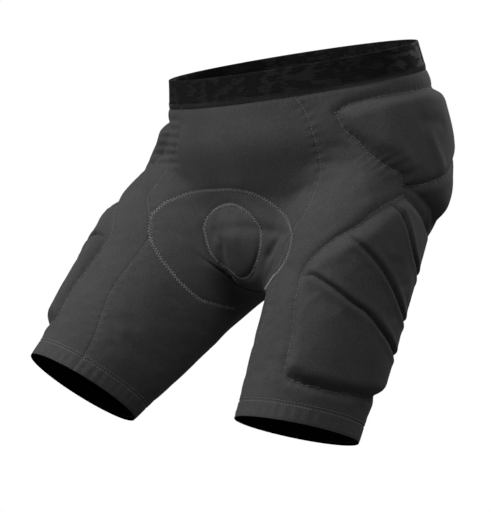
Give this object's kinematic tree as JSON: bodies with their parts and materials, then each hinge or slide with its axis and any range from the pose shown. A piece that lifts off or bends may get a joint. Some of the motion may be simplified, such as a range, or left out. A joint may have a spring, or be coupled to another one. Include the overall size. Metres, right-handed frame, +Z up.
{
  "type": "padded impact shorts",
  "caption": "Stretch undershorts with built-in foam pads at the hips, thighs, tailbone and seat, shown filled out with one leg raised forward.",
  "frame": {"origin": "middle of the waist opening, in the plane of the waistband's upper edge", "axes": "+Z up, the wearer faces -Y, the wearer's left is +X; the waist opening tips forward 15 degrees"},
  "size_m": [0.4095, 0.3612, 0.442],
  "materials": {
    "stretch_fabric": "charcoal stretch knit with a faint heather speckle and pale grey stitching",
    "waist_elastic": "wide black woven elastic with a tone-on-tone woven pattern",
    "grip_silicone": "black silicone grip bead on the inside of the hem",
    "impact_foam": "dark soft impact foam, closed between two layers of cloth",
    "mesh_lining": "thin black mesh",
    "seat_pad_foam": "dark knit-faced foam seat pad"
  },
  "bodies": {
    "seat": {"front_panel": "stretch_fabric", "left_hip_pad": "impact_foam", "left_hip_pad_liner": "mesh_lining", "left_hip_panel": "stretch_fabric", "right_hip_pad": "impact_foam", "right_hip_pad_liner": "mesh_lining", "right_hip_panel": "stretch_fabric", "seat_pad_base": "seat_pad_foam", "seat_pad_core": "seat_pad_foam", "seat_panel": "stretch_fabric", "tailbone_pad": "impact_foam", "tailbone_pad_liner": "mesh_lining", "waistband": "waist_elastic"},
    "left_leg": {"left_hem_band": "stretch_fabric", "left_leg_gripper": "grip_silicone", "left_leg_inner_panel": "stretch_fabric", "left_leg_side_panel": "stretch_fabric", "left_seat_pad_wing": "seat_pad_foam", "left_thigh_pad_1": "impact_foam", "left_thigh_pad_2": "impact_foam", "left_thigh_pad_3": "impact_foam", "left_thigh_pad_4": "impact_foam", "left_thigh_pad_liner": "mesh_lining"},
    "right_leg": {"right_hem_band": "stretch_fabric", "right_leg_gripper": "grip_silicone", "right_leg_inner_panel": "stretch_fabric", "right_leg_side_panel": "stretch_fabric", "right_seat_pad_wing": "seat_pad_foam", "right_thigh_pad_1": "impact_foam", "right_thigh_pad_2": "impact_foam", "right_thigh_pad_3": "impact_foam", "right_thigh_pad_4": "impact_foam", "right_thigh_pad_liner": "mesh_lining"}
  },
  "joints": [
    {"name": "left_hip", "type": "hinge", "parent": "seat", "child": "left_leg", "pos_m": [0.095, 0.01084, -0.12547], "axis": [-1, 0, 0], "range_deg": [-20, 45], "deforming": ["left_leg_side_panel", "left_leg_inner_panel", "left_seat_pad_wing", "left_hip_panel", "left_thigh_pad_1", "left_thigh_pad_liner", "front_panel", "seat_panel", "seat_pad_base"]},
    {"name": "right_hip", "type": "hinge", "parent": "seat", "child": "right_leg", "pos_m": [-0.095, 0.01084, -0.12547], "axis": [-1, 0, 0], "range_deg": [-35, 30], "deforming": ["right_leg_side_panel", "right_leg_inner_panel", "right_seat_pad_wing", "right_hip_panel", "right_thigh_pad_1", "right_thigh_pad_liner", "front_panel", "seat_panel", "seat_pad_base"]}
  ]
}
